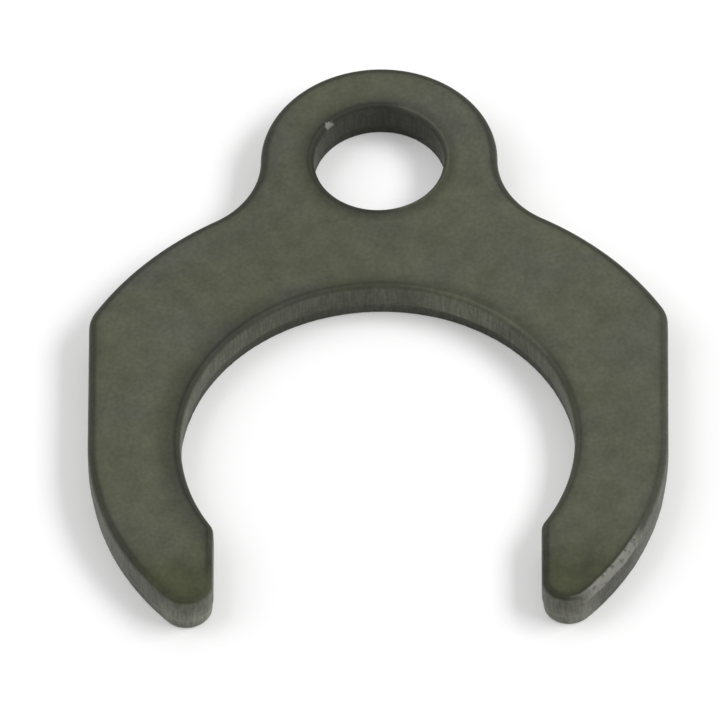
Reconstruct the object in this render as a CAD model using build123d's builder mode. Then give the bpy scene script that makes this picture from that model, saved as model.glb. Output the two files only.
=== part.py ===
"""Side-fitting circlip: a flat spring-steel clip that is pushed sideways into the groove of a shaft.

It is one piece, blanked and pierced from strip in a single stroke. A C-shaped body with two flat sides
has a mouth between its arms for the shaft, and an ear over it has a round eye, for the hook or screw that
pulls the clip off. The bore axis is Z, and Z = 0 is the middle of the strip. The ear points along +Y and
the mouth opens along -Y.
"""

import os

from build123d import *

# Strip and groove
thickness = 1.75  # strip stock, a little under the width of the groove that the clip drops into
bore_radius = 8.0  # grips the floor of the groove
mouth_width = 13.3  # narrower than the bore, so that the arms spring apart as they pass the shaft

# Outside of the body
body_width = 23.6  # across the two flat sides
shoulder_radius = 13.5  # about the bore axis, over the top from one flat side to the other
shoulder_corner_radius = 1.6  # where the shoulder meets a flat side

# Ear
eye_height = 14.9  # centre of the eye above the bore axis
eye_radius = 2.65  # clears an M5 screw
ear_radius = 4.85  # about the centre of the eye
neck_radius = 3.7  # hollow corner between the ear and the shoulder

# Arms
tip_radius = 1.1  # round end of each arm
lead_radius = 0.8  # corner where the bore opens into the mouth

# Section that the press leaves all round the edge
roll_radius = 0.3  # the face that the punch meets first is drawn in round every edge
fracture_height = 0.6  # torn foot of the wall, under the smooth land
fracture_lean = 0.05  # how far the tear runs back into the metal at the burr face
edge_break = 0.05  # burr edge, taken off by tumbling


def blank_outline():
    """The outside of the blank: shoulder, flat sides, round underside and the ear."""
    with BuildSketch() as outline:
        Circle(shoulder_radius)
        above_axis = (Align.CENTER, Align.MIN)
        Rectangle(body_width, shoulder_radius, align=above_axis, mode=Mode.INTERSECT)
        Circle(body_width / 2)
        shoulder_corners = outline.vertices().group_by(Axis.Y)[-1]
        fillet(shoulder_corners, shoulder_corner_radius)
        with Locations((0, eye_height)):
            Circle(ear_radius)
        neck_corners = outline.vertices().group_by(Axis.Y)[-1]
        fillet(neck_corners, neck_radius)
    return outline.sketch


def flat_pattern():
    """The blank with its bore, mouth and eye cut out and its arms rounded."""
    with BuildSketch() as pattern:
        add(blank_outline())
        Circle(bore_radius, mode=Mode.SUBTRACT)
        below_axis = (Align.CENTER, Align.MAX)
        Rectangle(mouth_width, body_width / 2, align=below_axis, mode=Mode.SUBTRACT)
        lead_corners = pattern.vertices().group_by(Axis.Y)[1]
        fillet(lead_corners, lead_radius)
        tip_corners = pattern.vertices().group_by(Axis.Y)[0]
        fillet(tip_corners, tip_radius)
        with Locations((0, eye_height)):
            Circle(eye_radius, mode=Mode.SUBTRACT)
    return pattern.sketch


with BuildPart() as circlip:
    add(flat_pattern())
    extrude(amount=thickness / 2, both=True)

    # Roll-over round the outside, the bore and the eye, all on the same face
    rolled_face = circlip.faces().sort_by(Axis.Z)[-1]
    fillet(rolled_face.edges(), roll_radius)

    # Tear at the foot of the wall, and its tumbled edge
    burr_face = circlip.faces().sort_by(Axis.Z)[0]
    chamfer(burr_face.edges(), fracture_lean, fracture_height, reference=burr_face)
    burr_face = circlip.faces().sort_by(Axis.Z)[0]
    chamfer(burr_face.edges(), edge_break)

circlip.part.label = "circlip"

os.makedirs("parts", exist_ok=True)
export_step(circlip.part, "parts/circlip.step")
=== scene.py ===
"""The looks of a side-fitting circlip: a stamped spring-steel clip, phosphated, lying on a white table."""

import math

import bpy
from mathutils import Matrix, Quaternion, Vector
from mathutils.geometry import delaunay_2d_cdt
from mathutils.kdtree import KDTree


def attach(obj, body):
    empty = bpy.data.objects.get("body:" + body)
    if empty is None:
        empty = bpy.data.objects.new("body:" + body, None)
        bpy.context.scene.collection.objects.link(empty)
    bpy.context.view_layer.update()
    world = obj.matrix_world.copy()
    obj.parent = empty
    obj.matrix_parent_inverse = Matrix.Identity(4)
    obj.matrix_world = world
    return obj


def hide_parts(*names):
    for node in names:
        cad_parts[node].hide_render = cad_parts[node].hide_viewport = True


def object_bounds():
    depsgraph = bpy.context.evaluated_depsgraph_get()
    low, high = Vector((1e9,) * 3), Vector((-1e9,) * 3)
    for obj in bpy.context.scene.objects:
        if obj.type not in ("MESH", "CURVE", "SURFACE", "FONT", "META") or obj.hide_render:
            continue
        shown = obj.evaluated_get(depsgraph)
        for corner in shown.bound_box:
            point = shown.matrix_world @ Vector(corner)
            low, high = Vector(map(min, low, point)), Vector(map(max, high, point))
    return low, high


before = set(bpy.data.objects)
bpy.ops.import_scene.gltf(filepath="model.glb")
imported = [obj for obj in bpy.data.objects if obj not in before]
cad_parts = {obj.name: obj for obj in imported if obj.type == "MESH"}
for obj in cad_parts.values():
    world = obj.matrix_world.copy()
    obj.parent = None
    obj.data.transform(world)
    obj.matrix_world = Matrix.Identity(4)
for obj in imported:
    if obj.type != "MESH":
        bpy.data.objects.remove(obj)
cad_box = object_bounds()
lowest, highest = (Vector(corner) for corner in cad_box)


# Viewpoint
# The clip lies on a table and is seen from its mouth, from half-way up, through a very long lens that keeps
# its arms parallel. The table is square to the clip to within two degrees. Sizes are in millimetres.

mm = 0.001
lens_length = 1500.0
lens_sensor = 36.0
view_width = 29.25
view_azimuth = 1.7
view_elevation = 50.6
view_roll = -1.92
bore_right_of_middle = 0.72
bore_below_middle = 3.18
nearest_seen = 100.0
farthest_seen = 5000.0

camera_data = bpy.data.cameras.new("long_lens")
camera_data.type = "PERSP"
camera_data.lens = lens_length
camera_data.sensor_width = lens_sensor
camera = bpy.data.objects.new("camera", camera_data)
bpy.context.scene.collection.objects.link(camera)
azimuth = math.radians(view_azimuth)
elevation = math.radians(view_elevation)
towards_camera = Vector((
    math.sin(azimuth) * math.cos(elevation),
    -math.cos(azimuth) * math.cos(elevation),
    math.sin(elevation),
))
camera.rotation_mode = "QUATERNION"
upright = (-towards_camera).to_track_quat("-Z", "Y")
camera.rotation_quaternion = upright @ Quaternion((0, 0, 1), math.radians(view_roll))
camera_right = camera.rotation_quaternion @ Vector((1, 0, 0))
camera_up = camera.rotation_quaternion @ Vector((0, 1, 0))
view_distance = view_width * lens_length / lens_sensor
bore_centre = Vector((0, 0, highest.z))
view_middle = bore_centre - camera_right * bore_right_of_middle * mm + camera_up * bore_below_middle * mm
camera.location = view_middle + towards_camera * view_distance * mm
camera_data.clip_start = nearest_seen * mm
camera_data.clip_end = farthest_seen * mm
bpy.context.scene.camera = camera


# The clip
# Spring-steel strip, blanked and pierced in one stroke and phosphated. The press draws the upper edges in
# round, shears the upper wall smooth and tears its foot away, and tumbling takes the burr off.

thickness = 1.75
bore_radius = 8.0
mouth_width = 13.3
body_width = 23.6
shoulder_radius = 13.5
shoulder_corner_radius = 1.6
eye_height = 14.9
eye_radius = 2.65
ear_radius = 4.85
neck_radius = 3.7
tip_radius = 1.1
lead_radius = 0.8
roll_rim = 0.24
droop = 0.07
droop_width = 1.0
tear_height = 0.6
tear_lean = 0.05
tear_roughness = 0.035
tear_wave = 0.16
tear_seed = 4.0
edge_break = 0.05
point_spacing = 0.085
face_spacing = 0.24
closest_points = 0.001


def heading(point):
    """The direction of a point from the bore axis, in degrees."""
    return math.degrees(math.atan2(point[1], point[0]))


def arc(centre, radius, start, end):
    """Points along an arc from one direction to another, evenly spaced."""
    steps = math.ceil(radius * math.radians(abs(end - start)) / point_spacing)
    points = []
    for step in range(steps + 1):
        direction = math.radians(start + (end - start) * step / steps)
        points.append((centre[0] + radius * math.cos(direction), centre[1] + radius * math.sin(direction)))
    return points


def straight(start, end):
    """Points between the ends of a straight edge."""
    steps = math.ceil(math.dist(start, end) / point_spacing)
    across, up = end[0] - start[0], end[1] - start[1]
    return [(start[0] + across * step / steps, start[1] + up * step / steps) for step in range(1, steps)]


def right_half(inset):
    """The edge from the top of the ear, down the right of the clip, round the arm and up the bore."""
    neck_reach = shoulder_radius + neck_radius
    neck_y = (neck_reach**2 - (ear_radius + neck_radius) ** 2 + eye_height**2) / (2 * eye_height)
    neck = (math.sqrt(neck_reach**2 - neck_y**2), neck_y)
    corner_x = body_width / 2 - shoulder_corner_radius
    corner = (corner_x, math.sqrt((shoulder_radius - shoulder_corner_radius) ** 2 - corner_x**2))
    tip_x = mouth_width / 2 + tip_radius
    tip = (tip_x, -math.sqrt((body_width / 2 - tip_radius) ** 2 - tip_x**2))
    lead_x = mouth_width / 2 + lead_radius
    lead = (lead_x, -math.sqrt((bore_radius + lead_radius) ** 2 - lead_x**2))
    ear_end = heading((neck[0], neck[1] - eye_height))
    flat_x, mouth_x = body_width / 2 - inset, mouth_width / 2 + inset
    points = arc((0, eye_height), ear_radius - inset, 90, ear_end)
    points += arc(neck, neck_radius + inset, ear_end + 180, heading(neck) + 180)
    points += arc((0, 0), shoulder_radius - inset, heading(neck), heading(corner))
    points += arc(corner, shoulder_corner_radius - inset, heading(corner), 0)
    points += straight((flat_x, corner[1]), (flat_x, 0))
    points += arc((0, 0), body_width / 2 - inset, 0, heading(tip))
    points += arc(tip, tip_radius - inset, heading(tip), -180)
    points += straight((mouth_x, tip[1]), (mouth_x, lead[1]))
    points += arc(lead, lead_radius - inset, 180, heading(lead) + 180)
    points += arc((0, 0), bore_radius + inset, heading(lead), 90)
    return points


def edge_loops(inset):
    """The outer edge with the bore and mouth, and the eye, drawn in from the wall by this much."""
    right = []
    for point in right_half(inset):
        if not right or math.dist(point, right[-1]) > closest_points:
            right.append(point)
    left = [(-x, y) for x, y in reversed(right[1:-1])]
    eye = arc((0, eye_height), eye_radius + inset, 0, 360)[:-1]
    return [(right + left)[::-1], eye[::-1]]


def closing_edges(loops):
    """The edges that close each loop, where the points are counted on from one loop to the next."""
    edges = []
    for loop in loops:
        first = len(edges)
        edges += [(first + i, first + (i + 1) % len(loop)) for i in range(len(loop))]
    return edges


def flat_face(loops):
    """A level face between the loops, with points all over it so that it can be drawn down at its rim."""
    rim_points = [Vector(point) for loop in loops for point in loop]
    near_rim = KDTree(len(rim_points))
    for index, point in enumerate(rim_points):
        near_rim.insert((*point, 0), index)
    near_rim.balance()
    inner_points = []
    row_height = face_spacing * math.sqrt(0.75)
    clear_of_rim = face_spacing * 0.6
    half_width = body_width / 2
    rows = range(int(-half_width / row_height), int((eye_height + ear_radius) / row_height) + 1)
    columns = range(int(-half_width / face_spacing) - 1, int(half_width / face_spacing) + 2)
    for row in rows:
        for column in columns:
            point = Vector(((column + row % 2 / 2) * face_spacing, row * row_height))
            if near_rim.find((*point, 0))[2] > clear_of_rim:
                inner_points.append(point)
    outer = list(range(len(loops[0])))
    found = delaunay_2d_cdt(rim_points + inner_points, closing_edges(loops), [outer], 1, 1e-6)
    points, faces = found[0], found[2]
    eye_centre = Vector((0, eye_height))
    chord_sag = 0.005
    eye_rim = eye_radius + roll_rim - chord_sag
    metal = []
    for face in faces:
        middle = sum((points[i] for i in face), Vector((0, 0))) / len(face)
        if (middle - eye_centre).length > eye_rim:
            metal.append(face)
    used = sorted({i for face in metal for i in face})
    place = {old: new for new, old in enumerate(used)}
    return (
        [(points[i].x * mm, points[i].y * mm, 0) for i in used],
        [[place[i] for i in face] for face in metal],
    )


loops = edge_loops(roll_rim)
vertices, faces = flat_face(loops)
blank_mesh = bpy.data.meshes.new("flat_face")
blank_mesh.from_pydata(vertices, closing_edges(loops), faces)
blank = bpy.data.objects.new("flat_face", blank_mesh)
bpy.context.scene.collection.objects.link(blank)


def add_node(tree, kind, inputs=None, **settings):
    """A node with its settings made, and its inputs set to a value or linked to another node's output."""
    node = tree.nodes.new(kind)
    for name, setting in settings.items():
        setattr(node, name, setting)
    for name, value in (inputs or {}).items():
        socket = node.inputs[name]
        if isinstance(value, bpy.types.NodeSocket):
            tree.links.new(value, socket)
        else:
            socket.default_value = value
    return node


def sum_up(tree, operation, *values):
    """The result of one sum on up to three numbers."""
    return add_node(tree, "ShaderNodeMath", dict(enumerate(values)), operation=operation).outputs[0]


def point_at(tree, x=0.0, y=0.0, z=0.0):
    """A point made from numbers."""
    return add_node(tree, "ShaderNodeCombineXYZ", {"X": x, "Y": y, "Z": z}).outputs[0]


def join(tree, *parts):
    """Several geometries as one."""
    node = add_node(tree, "GeometryNodeJoinGeometry")
    for part in parts:
        tree.links.new(part, node.inputs[0])
    return node.outputs[0]


def sheared_edge_tree():
    """Sweeps the section that the press leaves round a flat face, draws the face down and tears the foot."""
    tree = bpy.data.node_groups.new("sheared_edge", "GeometryNodeTree")
    tree.interface.new_socket("Flat face", in_out="INPUT", socket_type="NodeSocketGeometry")
    sizes = {
        "Thickness": thickness,
        "Roll rim": roll_rim,
        "Droop": droop,
        "Droop width": droop_width,
        "Tear height": tear_height,
        "Tear lean": tear_lean,
        "Tear roughness": tear_roughness,
        "Tear wave": tear_wave,
        "Edge break": edge_break,
    }
    for name, size in sizes.items():
        socket = tree.interface.new_socket(name, in_out="INPUT", socket_type="NodeSocketFloat")
        socket.default_value = size * mm
    seed = tree.interface.new_socket("Seed", in_out="INPUT", socket_type="NodeSocketFloat")
    seed.default_value = tear_seed
    tree.interface.new_socket("Finish", in_out="INPUT", socket_type="NodeSocketMaterial")
    tree.interface.new_socket("Clip", in_out="OUTPUT", socket_type="NodeSocketGeometry")
    given = add_node(tree, "NodeGroupInput").outputs
    roll_points, wall_points, break_points, foot_points = 10, 22, 3, 4
    waves_per_metre, pits_per_metre = 900.0, 5500.0
    smooth_start = 0.2
    weld = 0.001 * mm

    # The rim of the face is the path that the section follows, and the way out of the metal is kept on it
    free_edge = add_node(
        tree, "FunctionNodeCompare",
        {"A": add_node(tree, "GeometryNodeInputMeshEdgeNeighbors").outputs[0], "B": 1},
        data_type="INT", operation="EQUAL",
    ).outputs[0]
    rim_of_face = {"Mesh": given["Flat face"], "Selection": free_edge}
    path = add_node(tree, "GeometryNodeMeshToCurve", rim_of_face).outputs[0]
    path = add_node(tree, "GeometryNodeSetCurveNormal", {"Curve": path}, mode="Z_UP").outputs[0]
    keep = add_node(tree, "GeometryNodeCaptureAttribute", {"Geometry": path})
    keep.capture_items.new("VECTOR", "Outward")
    tree.links.new(add_node(tree, "GeometryNodeInputNormal").outputs["Normal"], keep.inputs[1])
    path, outward = keep.outputs[0], keep.outputs[1]

    # The section: roll, wall, broken edge and a flat rim underneath. The roll starts at the slope of the
    # drawn face.
    half = sum_up(tree, "MULTIPLY", given["Thickness"], 0.5)
    foot = sum_up(tree, "MULTIPLY", half, -1.0)
    rim, fall = given["Roll rim"], given["Droop"]
    slope = sum_up(tree, "MULTIPLY", sum_up(tree, "DIVIDE", fall, given["Droop width"]), 2.0)
    tilt = sum_up(tree, "ARCTANGENT", slope)
    radius = sum_up(tree, "DIVIDE", rim, sum_up(tree, "SUBTRACT", 1.0, sum_up(tree, "SINE", tilt)))
    face_rim = sum_up(tree, "SUBTRACT", half, fall)
    roll_drop = sum_up(tree, "MULTIPLY", radius, sum_up(tree, "COSINE", tilt))
    wall_top = sum_up(tree, "SUBTRACT", face_rim, roll_drop)
    wall_foot = sum_up(tree, "ADD", foot, given["Edge break"])
    quarter = {
        "Resolution": roll_points,
        "Radius": radius,
        "Start Angle": sum_up(tree, "SUBTRACT", math.pi / 2, tilt),
        "Sweep Angle": sum_up(tree, "SUBTRACT", tilt, math.pi / 2),
    }
    roll = add_node(tree, "GeometryNodeCurveArc", quarter).outputs[0]
    roll_centre = point_at(tree, sum_up(tree, "SUBTRACT", rim, radius), wall_top)
    roll = add_node(tree, "GeometryNodeTransform", {"Geometry": roll, "Translation": roll_centre}).outputs[0]

    def stretch(start, end, count):
        """A straight part of the section with this many points on it."""
        ends = {"Start": point_at(tree, *start), "End": point_at(tree, *end)}
        line = add_node(tree, "GeometryNodeCurvePrimitiveLine", ends).outputs[0]
        points = {"Curve": line, "Count": count}
        return add_node(tree, "GeometryNodeResampleCurve", points, mode="COUNT").outputs[0]

    broken = sum_up(tree, "SUBTRACT", rim, given["Edge break"])
    section = join(
        tree,
        roll,
        stretch((rim, wall_top), (rim, wall_foot), wall_points),
        stretch((rim, wall_foot), (broken, foot), break_points),
        stretch((broken, foot), (0.0, foot), foot_points),
    )
    turned = {"Geometry": section, "Scale": (1.0, -1.0, 1.0)}
    section = add_node(tree, "GeometryNodeTransform", turned).outputs[0]
    wall = add_node(tree, "GeometryNodeCurveToMesh", {"Curve": path, "Profile Curve": section}).outputs[0]
    wall = add_node(tree, "GeometryNodeMergeByDistance", {"Geometry": wall, "Distance": weld}).outputs[0]

    # The tear: it starts along a wavy line and runs back into the metal towards the burr face
    place = add_node(tree, "GeometryNodeInputPosition").outputs[0]
    spot = add_node(tree, "ShaderNodeSeparateXYZ", {"Vector": place}).outputs

    def noise(scale):
        """Noise with about this many lumps to the metre."""
        settings = {"Vector": place, "W": given["Seed"], "Scale": scale, "Detail": 2.0}
        return add_node(tree, "ShaderNodeTexNoise", settings, noise_dimensions="4D").outputs["Fac"]

    wave = sum_up(tree, "MULTIPLY", sum_up(tree, "SUBTRACT", noise(waves_per_metre), 0.5), given["Tear wave"])
    line = sum_up(tree, "ADD", sum_up(tree, "ADD", foot, given["Tear height"]), wave)
    depth = sum_up(tree, "DIVIDE", sum_up(tree, "SUBTRACT", line, spot["Z"]), given["Tear height"])
    depth = add_node(tree, "ShaderNodeClamp", {"Value": depth}).outputs[0]
    onset = {"Value": depth, "From Max": smooth_start}
    onset = add_node(tree, "ShaderNodeMapRange", onset, interpolation_type="SMOOTHSTEP").outputs[0]
    rough = sum_up(tree, "MULTIPLY", noise(pits_per_metre), given["Tear roughness"])
    torn = sum_up(tree, "MULTIPLY", rough, onset)
    back = sum_up(tree, "ADD", sum_up(tree, "MULTIPLY", depth, given["Tear lean"]), torn)
    on_edge = add_node(
        tree, "GeometryNodeProximity",
        {"Geometry": add_node(tree, "GeometryNodeCurveToMesh", {"Curve": path}).outputs[0]},
        target_element="EDGES",
    )
    stand_off = add_node(
        tree, "ShaderNodeVectorMath",
        {0: place, 1: point_at(tree, 0.0, 0.0, spot["Z"])}, operation="SUBTRACT",
    ).outputs[0]
    tree.links.new(stand_off, on_edge.inputs["Sample Position"])
    reach = sum_up(tree, "DIVIDE", on_edge.outputs["Distance"], rim)
    back = sum_up(tree, "MULTIPLY", back, add_node(tree, "ShaderNodeClamp", {"Value": reach}).outputs[0])
    inwards = {0: outward, "Scale": sum_up(tree, "MULTIPLY", back, -1.0)}
    shift = add_node(tree, "ShaderNodeVectorMath", inwards, operation="SCALE").outputs[0]
    wall = add_node(tree, "GeometryNodeSetPosition", {"Geometry": wall, "Offset": shift}).outputs[0]

    def note_distance(geometry, sign):
        """Keeps the distance from the rim of the face, in millimetres, inwards as more than nought."""
        value = sum_up(tree, "MULTIPLY", on_edge.outputs["Distance"], sign / mm)
        note = {"Geometry": geometry, "Name": "from_rim", "Value": value}
        return add_node(tree, "GeometryNodeStoreNamedAttribute", note).outputs[0]

    wall = note_distance(wall, -1.0)

    # Both faces: the upper one is drawn down towards its rim, the lower one stays flat
    inward = sum_up(tree, "DIVIDE", on_edge.outputs["Distance"], given["Droop width"])
    inward.node.use_clamp = True
    left_over = sum_up(tree, "SUBTRACT", 1.0, inward)
    sunk = sum_up(tree, "MULTIPLY", sum_up(tree, "MULTIPLY", left_over, left_over), fall)
    drawn = point_at(tree, spot["X"], spot["Y"], sum_up(tree, "SUBTRACT", half, sunk))
    level = point_at(tree, spot["X"], spot["Y"], foot)
    face = given["Flat face"]
    rolled_face = add_node(tree, "GeometryNodeSetPosition", {"Geometry": face, "Position": drawn})
    burr_face = add_node(tree, "GeometryNodeSetPosition", {"Geometry": face, "Position": level})
    burr_face = add_node(tree, "GeometryNodeFlipFaces", {"Mesh": burr_face.outputs[0]})
    rolled_face = note_distance(rolled_face.outputs[0], 1.0)
    clip = join(tree, wall, rolled_face, note_distance(burr_face.outputs[0], 1.0))
    clip = add_node(tree, "GeometryNodeMergeByDistance", {"Geometry": clip, "Distance": weld}).outputs[0]
    clip = add_node(tree, "GeometryNodeSetShadeSmooth", {"Geometry": clip}).outputs[0]
    clip = add_node(tree, "GeometryNodeRealizeInstances", {"Geometry": clip}).outputs[0]
    finished = {"Geometry": clip, "Material": given["Finish"]}
    clip = add_node(tree, "GeometryNodeSetMaterial", finished).outputs[0]
    add_node(tree, "NodeGroupOutput", {"Clip": clip})
    return tree


def phosphate_coat():
    """Zinc phosphate on steel: matt, olive on the faces, greyer where the press sheared and tore the wall."""
    material = bpy.data.materials.new("phosphate_coat")
    material.use_nodes = True
    tree = material.node_tree
    tree.nodes.clear()

    # Places in millimetres: across the clip, along it towards the ear, and up from the middle of the plate
    in_metres = add_node(tree, "ShaderNodeTexCoord").outputs["Object"]
    scaled = add_node(tree, "ShaderNodeVectorMath", {0: in_metres, "Scale": 1 / mm}, operation="SCALE")
    place = scaled.outputs[0]
    spot = add_node(tree, "ShaderNodeSeparateXYZ", {"Vector": place}).outputs
    across, along, height = spot["X"], spot["Y"], spot["Z"]
    from_rim = add_node(tree, "ShaderNodeAttribute", attribute_name="from_rim").outputs["Fac"]

    def grain(size, detail=2.0, seed=0.0, tall=1.0):
        """Noise in lumps this many millimetres wide and this many times as tall. Seeds are a metre apart."""
        squeeze = {"Vector": place, "Scale": (1.0, 1.0, 1.0 / tall)}
        squeezed = add_node(tree, "ShaderNodeMapping", squeeze).outputs[0]
        settings = {"Vector": squeezed, "Scale": 0.5 / size, "Detail": detail, "W": seed / mm}
        return add_node(tree, "ShaderNodeTexNoise", settings, noise_dimensions="4D").outputs["Fac"]

    def ragged(value, size, depth, seed, detail=4.0):
        """A number moved about by noise, so that what it bounds has a ragged edge."""
        noise = sum_up(tree, "SUBTRACT", grain(size, detail, seed), 0.5)
        return sum_up(tree, "MULTIPLY_ADD", noise, depth, value)

    def span(value, low, high, to_low=0.0, to_high=1.0, smooth=True):
        """A number carried from one span to another, and held at its ends."""
        settings = {"Value": value, "From Min": low, "From Max": high, "To Min": to_low, "To Max": to_high}
        kind = "SMOOTHSTEP" if smooth else "LINEAR"
        return add_node(tree, "ShaderNodeMapRange", settings, interpolation_type=kind).outputs[0]

    def fade(amount, without, within, smooth=False):
        """A tone that goes over into another as an amount rises from nought to one."""
        return span(amount, 0.0, 1.0, without, within, smooth)

    def blend(amount, first, second):
        """One colour giving way to another."""
        node = add_node(tree, "ShaderNodeMix", {"Factor": amount}, data_type="RGBA")
        for socket, value in ((node.inputs[6], first), (node.inputs[7], second)):
            if isinstance(value, bpy.types.NodeSocket):
                tree.links.new(value, socket)
            else:
                socket.default_value = (*value, 1.0)
        return node.outputs[2]

    def times(*values):
        """The product of several numbers."""
        product = values[0]
        for value in values[1:]:
            product = sum_up(tree, "MULTIPLY", product, value)
        return product

    def far_from(x, y):
        """The distance from an upright axis, in millimetres."""
        flat = point_at(tree, sum_up(tree, "SUBTRACT", across, x), sum_up(tree, "SUBTRACT", along, y))
        return add_node(tree, "ShaderNodeVectorMath", {0: flat}, operation="LENGTH").outputs["Value"]

    def beside_hole(y, radius):
        """One at the wall of a hole in the middle of the clip, and nought from a little way off."""
        return span(far_from(0.0, y), radius + 0.6, radius + 0.4)

    # Where the roll, the sheared land and the torn foot lie
    top = thickness / 2
    roll_foot = top - roll_rim - droop
    roll_low, roll_high = roll_foot + 0.06, roll_foot + 0.20
    tear_top = tear_height - top
    tear_blur = 0.04
    wavy_height = ragged(height, 0.7, 0.2, 5.0, detail=2.0)
    in_roll = times(span(from_rim, 0.18, -0.02), span(height, roll_low, roll_high))
    on_wall = times(span(from_rim, -0.10, -0.16), span(height, roll_high, roll_low))
    in_land = times(on_wall, span(wavy_height, tear_top - tear_blur, tear_top + tear_blur))
    on_top = times(span(height, 0.0, 0.1), span(from_rim, -0.05, 0.0))
    in_eye = beside_hole(eye_height, eye_radius)
    in_bore = beside_hole(0.0, bore_radius)
    in_hole = sum_up(tree, "MAXIMUM", in_eye, in_bore)
    in_crown = times(in_bore, span(along, -3.5, 1.5))
    near_tips = span(along, -4.3, -7.4)

    # The coat's colour: olive on the faces and deeper at the tips, greyer on the wall. The tones below
    # are multiplied with it.
    olive, grey_olive = (0.0765, 0.0825, 0.0515), (0.0765, 0.0800, 0.0595)
    tip_olive = (0.0475, 0.0520, 0.0248)
    inner_wall, outer_wall = (0.088, 0.092, 0.068), (0.088, 0.090, 0.072)
    face_colour = blend(span(grain(1.8, 3.0), 0.40, 0.64), olive, grey_olive)
    face_colour = blend(near_tips, face_colour, tip_olive)
    colour = blend(on_wall, face_colour, blend(in_hole, outer_wall, inner_wall))

    # Its tone on the faces: speckled and mottled, with one broad dark cloud, painted shade in rings beside
    # both holes and painted shade towards the rim
    speckle = span(grain(0.09, 3.0, 2.0), 0.3, 0.7, 0.86, 1.14, smooth=False)
    mottle = ragged(1.0, 0.45, fade(near_tips, 0.7, 1.3, smooth=True), 3.0, detail=2.0)
    cloud = span(far_from(-4.0, 11.5), 2.5, 9.0, 0.92, 1.0)
    # Painted shade: the face is darkened in a ring beside the bore, deepest on its left, and in a ring beside
    # the eye
    bore_painted_shade_floor = span(across, -7.5, -4.0, 0.60, 0.72)
    bore_painted_shade = span(far_from(-0.3, 0.0), bore_radius + 0.2, bore_radius + 1.05, bore_painted_shade_floor, 1.0)
    eye_painted_shade = span(far_from(-0.15, eye_height - 0.1), eye_radius + 0.2, eye_radius + 0.95, 0.62, 1.0)
    hole_painted_shade = fade(on_top, 1.0, sum_up(tree, "MINIMUM", bore_painted_shade, eye_painted_shade))
    # Painted shade: the top face darkens over its last half millimetre towards the rim
    rim_painted_shade = fade(times(on_top, span(from_rim, 0.5, 0.0)), 1.0, 0.86)

    # Painted shade on the rolled edges: a dark line in place of the roll's shading, which differs along the
    # bore, round the eye and down the arms, and is lifted right of the bore's crown and on the eye's right
    right_of_crown = times(in_crown, span(across, 0.0, 4.0), span(across, 7.6, 6.0))
    bore_roll = times(span(across, -6.0, -4.0, 0.36, 0.60), fade(right_of_crown, 1.0, 1.9, smooth=True))
    eye_roll = span(across, 0.2, 1.2, 0.42, 1.15)
    tip_roll = span(across, -1.0, 1.0, 0.85, 0.45)
    arm_roll = span(along, -6.2, -7.6, 0.42, tip_roll)
    flank_roll = span(across, 10.0, 11.0, arm_roll, 0.58)
    roll_shade_depth = fade(in_bore, fade(in_eye, flank_roll, eye_roll, smooth=True), bore_roll)
    roll_painted_shade = fade(in_roll, 1.0, roll_shade_depth)

    # Its tone on the wall: scored by the punch, lighter at the tips towards the foot, with painted light on
    # the outer foot, painted shade on the foot inside the holes, on the eye's wall and on the right flank,
    # and a painted highlight on the land beside the bore's crown
    scores = span(grain(0.05, 2.0, 9.0, tall=8.0), 0.35, 0.65, 0.85, 1.25, smooth=False)
    from_middle = sum_up(tree, "ABSOLUTE", across)
    # Painted light and shade on the torn foot: lighter on the outer wall where floor light falls, darker
    # inside the eye, darkest across the bore's crown
    crown_foot_shade = span(from_middle, 0.5, 5.0, 0.78, 0.52)
    foot_painted_light_and_shade = fade(in_crown, fade(in_eye, 1.12, 0.78, smooth=True), crown_foot_shade)
    # Painted highlight: the sheared land right of the bore's crown is lightened by half
    land_painted_highlight = times(in_bore, span(across, 1.0, 2.6), span(across, 5.4, 4.2))
    land_tone = fade(in_land, foot_painted_light_and_shade, fade(land_painted_highlight, 1.06, 1.50, smooth=True))
    # Painted shade on the outer wall of the right arm
    shaded_flank = times(span(across, 7.7, 9.7), span(along, -4.5, -6.2))
    flank_painted_shade = fade(shaded_flank, 1.0, 0.72, smooth=True)
    # Lighter at the arm tips, the more towards the foot
    tip_lightening = times(span(along, -7.2, -8.1), span(height, 0.4, -0.5, 0.2, 0.8))
    tip_tone = sum_up(tree, "ADD", 1.0, tip_lightening)
    wall_tone = fade(on_wall, 1.0, times(land_tone, scores, tip_tone, flank_painted_shade))
    # Painted shade: the eye's wall darkens to half below its rim
    eye_wall_painted_shade = fade(in_eye, 1.0, span(from_rim, 0.0, -0.15, 1.0, 0.5))
    tone = times(speckle, mottle, cloud, hole_painted_shade, roll_painted_shade, rim_painted_shade, eye_wall_painted_shade, wall_tone)
    coated = add_node(tree, "ShaderNodeVectorMath", {0: colour, "Scale": tone}, operation="SCALE").outputs[0]

    # Painted highlights: a bright streak along the edge of the right arm, and one bright spot in the rim of
    # the eye
    painted_highlight_colour = (0.26, 0.26, 0.23)
    highlight_streak_reach = ragged(far_from(9.5, -6.6), 0.5, 1.5, 12.0)
    highlight_streak_height = ragged(height, 0.35, 0.3, 11.0)
    highlight_streak = times(
        span(highlight_streak_reach, 2.7, 1.4),
        span(highlight_streak_height, roll_foot - 0.28, roll_foot - 0.14),
        span(ragged(from_rim, 0.2, 0.10, 15.0), 0.01, -0.09),
        span(grain(0.10, 4.0, 13.0), 0.34, 0.50, 0.3, 1.0),
        span(along, -4.8, -6.2, 0.6, 1.0),
    )
    highlight_nick_reach = ragged(far_from(-2.05, 16.72), 0.12, 0.5, 14.0)
    highlight_nick = times(span(highlight_nick_reach, 0.24, 0.14), span(height, top - 0.3, top - 0.2))
    painted_highlight = times(sum_up(tree, "MAXIMUM", highlight_streak, highlight_nick), 0.80)
    finished = blend(painted_highlight, coated, painted_highlight_colour)

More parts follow.
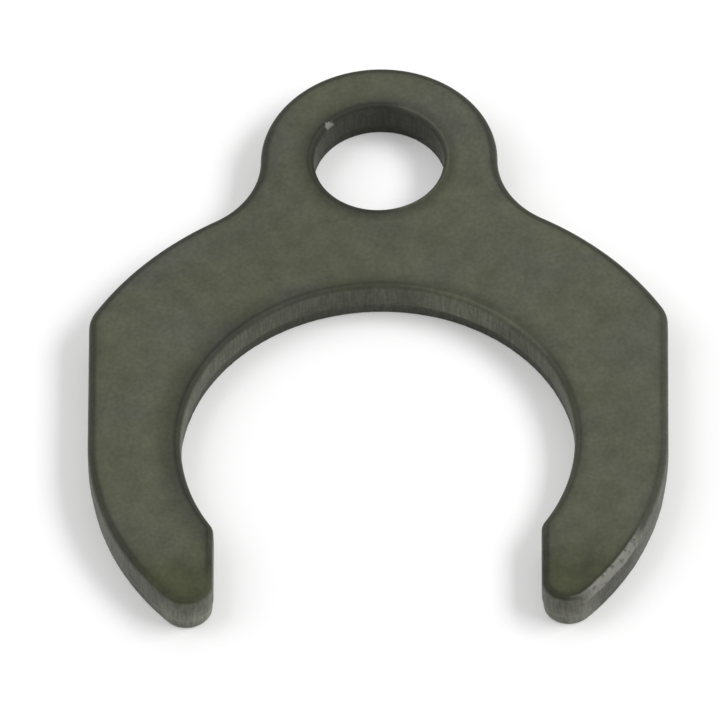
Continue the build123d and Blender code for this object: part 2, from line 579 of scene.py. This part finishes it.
    # The crystals of the coat stand up as a fine grain, and are rubbed smoother on the outer wall of the arms
    crystals = grain(0.06, 2.0, 7.0)
    rubbed = times(on_wall, sum_up(tree, "SUBTRACT", 1.0, in_hole), span(along, 0.0, -6.0))
    roughness = sum_up(tree, "SUBTRACT", span(crystals, 0.3, 0.7, 0.50, 0.66), times(rubbed, 0.12))
    bump = add_node(tree, "ShaderNodeBump", {"Strength": 0.35, "Distance": 0.02 * mm, "Height": crystals})
    looks = {"Base Color": finished, "Roughness": roughness, "Normal": bump.outputs[0]}
    steel = add_node(tree, "ShaderNodeBsdfPrincipled", {**looks, "Specular IOR Level": 0.2})
    add_node(tree, "ShaderNodeOutputMaterial", {"Surface": steel.outputs[0]})
    return material


tree = sheared_edge_tree()
blanking = blank.modifiers.new("blanking", "NODES")
blanking.node_group = tree
sockets = {item.name: item.identifier for item in tree.interface.items_tree if item.in_out == "INPUT"}
blanking[sockets["Finish"]] = phosphate_coat()
bpy.context.view_layer.update()
shape = blank.evaluated_get(bpy.context.evaluated_depsgraph_get())
clip_mesh = bpy.data.meshes.new_from_object(shape)
clip_mesh.name = "spring_clip"
clip_mesh.materials.clear()
clip_mesh.materials.append(bpy.data.materials["phosphate_coat"])
clip_mesh.polygons.foreach_set("material_index", [0] * len(clip_mesh.polygons))
bpy.data.objects.remove(blank)
clip = bpy.data.objects.new("spring_clip", clip_mesh)
bpy.context.scene.collection.objects.link(clip)
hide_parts("circlip")
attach(clip, "root")


# Table and light
# A white sheet under soft boxes at both sides, the right one the stronger, and one high up behind, all in
# metres. Sheet and sky are lifted to white only where they are seen, so that the lift doesn't light the clip.

table_size = 1.2
sheet_white = (0.83, 0.83, 0.83, 1.0)
sheet_glow = 0.17
sky_white = (1.0, 1.0, 1.0, 1.0)
sky_light = 0.30
table_mesh = bpy.data.meshes.new("table_top")
reach, level = table_size / 2, lowest.z
table_mesh.from_pydata(
    [(-reach, -reach, level), (reach, -reach, level), (reach, reach, level), (-reach, reach, level)],
    [], [(0, 1, 2, 3)],
)
table_top = bpy.data.objects.new("table_top", table_mesh)
bpy.context.scene.collection.objects.link(table_top)


def seen_directly(tree):
    """One for what the camera sees, straight or in a gloss or through glass, and nought for the light."""
    path = add_node(tree, "ShaderNodeLightPath").outputs
    either = sum_up(tree, "MAXIMUM", path["Is Camera Ray"], path["Is Glossy Ray"])
    return sum_up(tree, "MAXIMUM", either, path["Is Transmission Ray"])


white_sheet = bpy.data.materials.new("white_sheet")
white_sheet.use_nodes = True
sheet_tree = white_sheet.node_tree
sheet_tree.nodes.clear()
paper = add_node(sheet_tree, "ShaderNodeBsdfDiffuse", {"Color": sheet_white}).outputs[0]
glow_strength = sum_up(sheet_tree, "MULTIPLY", seen_directly(sheet_tree), sheet_glow)
glow = add_node(sheet_tree, "ShaderNodeEmission", {"Strength": glow_strength}).outputs[0]
both = add_node(sheet_tree, "ShaderNodeAddShader", {0: paper, 1: glow}).outputs[0]
add_node(sheet_tree, "ShaderNodeOutputMaterial", {"Surface": both})
table_mesh.materials.append(white_sheet)


def soft_box(name, place, size, power):
    """A soft box, given in metres and watts, that faces the clip."""
    data = bpy.data.lights.new(name, "AREA")
    data.shape = "RECTANGLE"
    data.size, data.size_y = size
    data.energy = power
    box = bpy.data.objects.new(name, data)
    box.location = place
    box.rotation_mode = "QUATERNION"
    box.rotation_quaternion = Vector(place).to_track_quat("Z", "Y")
    box.visible_camera = False
    bpy.context.scene.collection.objects.link(box)


soft_box("overhead_box", place=(0.0, 0.27, 0.42), size=(0.50, 0.34), power=0.39)
soft_box("right_box", place=(0.37, 0.0, 0.37), size=(0.40, 0.18), power=1.74)
soft_box("left_box", place=(-0.34, 0.03, 0.37), size=(0.40, 0.40), power=0.89)

world = bpy.data.worlds.new("studio")
bpy.context.scene.world = world
world.use_nodes = True
sky_tree = world.node_tree
sky_tree.nodes.clear()
sky_strength = sum_up(sky_tree, "MULTIPLY_ADD", seen_directly(sky_tree), 1.0 - sky_light, sky_light)
sky = add_node(sky_tree, "ShaderNodeBackground", {"Color": sky_white, "Strength": sky_strength})
add_node(sky_tree, "ShaderNodeOutputWorld", {"Surface": sky.outputs[0]})

bpy.context.scene.view_settings.view_transform = "Standard"
